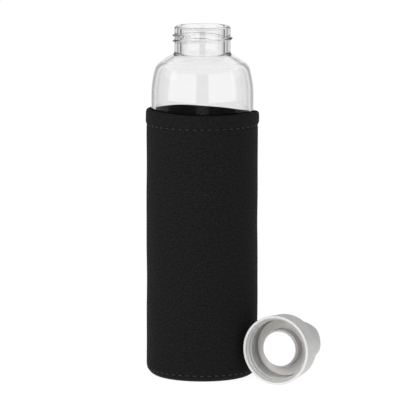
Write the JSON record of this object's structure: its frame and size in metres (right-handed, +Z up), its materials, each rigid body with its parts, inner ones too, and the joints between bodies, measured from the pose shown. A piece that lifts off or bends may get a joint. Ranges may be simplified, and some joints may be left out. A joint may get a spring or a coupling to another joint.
{
  "type": "glass water bottle",
  "caption": "Clear glass water bottle with a threaded neck, in a black neoprene sleeve, with its grey screw cap and carry handle lying beside it.",
  "frame": {"origin": "on the bottle's axis, at the underside of the sleeve, the surface that the bottle stands on", "axes": "+Z up along the bottle's axis, -Y towards the side that the open cap faces, +X towards the cap"},
  "size_m": [0.1115, 0.0848, 0.224],
  "materials": {
    "clear_glass": "clear, polished",
    "neoprene": "fine black knit over foam",
    "thread": "sewing thread",
    "cap_plastic": "satin silver-grey",
    "seal_white": "smooth white silicone",
    "gasket": "grey silicone"
  },
  "bodies": {
    "sleeve": {"sleeve_wall": "neoprene", "sleeve_base": "neoprene", "sleeve_hem": "neoprene", "hem_stitching": "thread", "base_stitching": "thread", "back_seam_stitching": "thread"},
    "bottle": {"glass_bottle": "clear_glass"},
    "seal": {"seal_plug": "cap_plastic", "seal_disc": "seal_white", "seal_gasket": "gasket"},
    "cap": {"cap_shell": "cap_plastic", "carry_handle": "cap_plastic"}
  },
  "joints": [
    {"name": "bottle_lift", "type": "slide", "parent": "sleeve", "child": "bottle", "axis": [0, 0, 1], "range_m": [0, 0.2]},
    {"name": "cap_travel", "type": "slide", "parent": "sleeve", "child": "seal", "axis": [-0.3987, -0.9171, 0], "range_m": [0, 0.0055]},
    {"name": "cap_turn", "type": "hinge", "parent": "seal", "child": "cap", "pos_m": [0.0463, -0.0401, 0.0221], "axis": [-0.3987, -0.9171, 0], "range_deg": [0, 540]}
  ],
  "couplings": [
    {"joint": "cap_travel", "follows": "cap_turn", "m_per_rad": 0.00057296}
  ]
}
